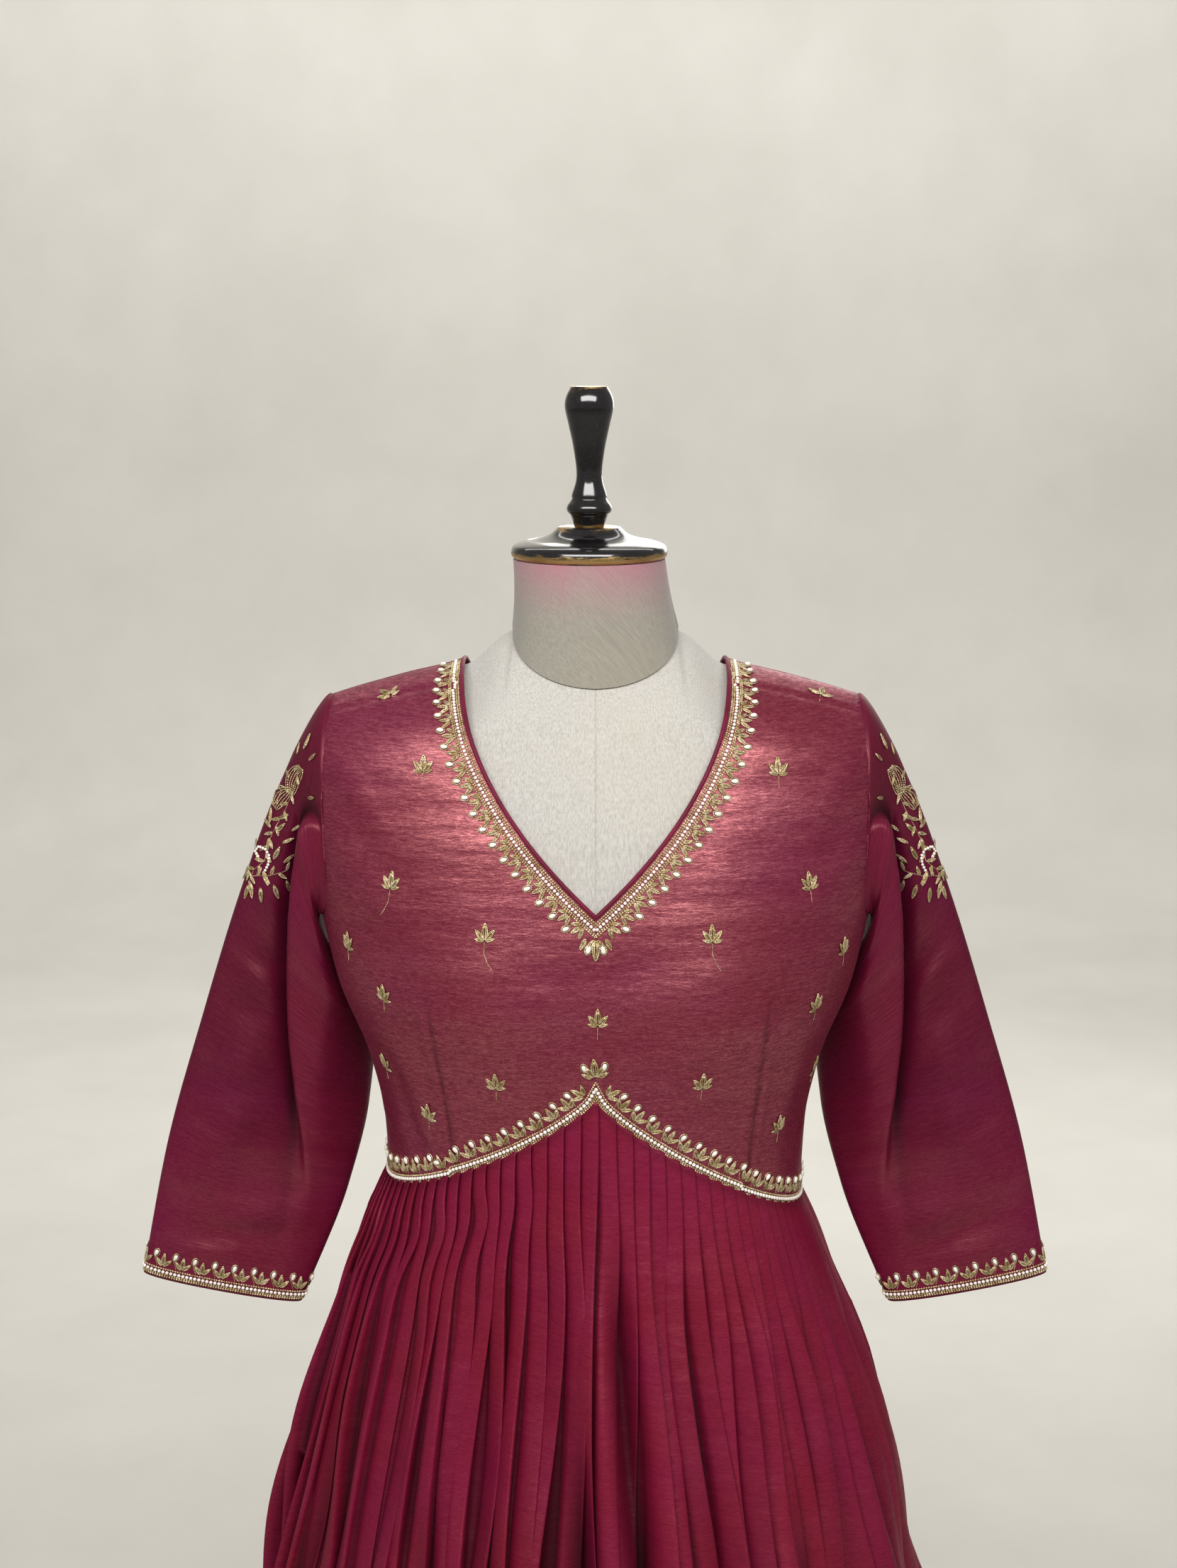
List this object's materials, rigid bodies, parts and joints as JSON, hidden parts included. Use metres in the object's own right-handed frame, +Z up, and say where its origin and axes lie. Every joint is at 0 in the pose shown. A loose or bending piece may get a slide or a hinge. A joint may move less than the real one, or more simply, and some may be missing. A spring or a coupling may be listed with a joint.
{
  "type": "anarkali gown on dress form",
  "caption": "Empire-waist anarkali gown with a V neck, flared knife-pleated skirt and three-quarter sleeves, worn on a limbless dress form that stands on a round base.",
  "frame": {"origin": "centre of the stand base's underside, on the floor under the pole", "axes": "+Z up along the pole, -Y the gown's front, +X the wearer's left"},
  "size_m": [0.7873, 0.6887, 1.6061],
  "materials": {
    "tissue_silk": "crimson silk tissue shot with rose gold, a soft metallic sheen",
    "piping_silk": "plain crimson piping",
    "beadwork": "gold coiled wire and off-white pearl embroidery",
    "linen": "off-white slub linen",
    "neck_linen": "grey-beige linen cut on the bias",
    "black_lacquer": "glossy black lacquer on turned wood, gold at the worn edges"
  },
  "bodies": {
    "root": {"bodice_front": "tissue_silk", "bodice_back": "tissue_silk", "skirt_front": "tissue_silk", "skirt_back": "tissue_silk", "sleeve_left": "tissue_silk", "sleeve_right": "tissue_silk", "neck_border": "beadwork", "neck_piping": "piping_silk", "waist_border_front": "beadwork", "waist_border_back": "beadwork", "cuff_border_left": "beadwork", "cuff_border_right": "beadwork", "form_torso": "linen", "form_neck": "neck_linen", "neck_cap": "black_lacquer", "finial": "black_lacquer", "stand_pole": "black_lacquer", "stand_base": "black_lacquer"}
  },
  "joints": []
}
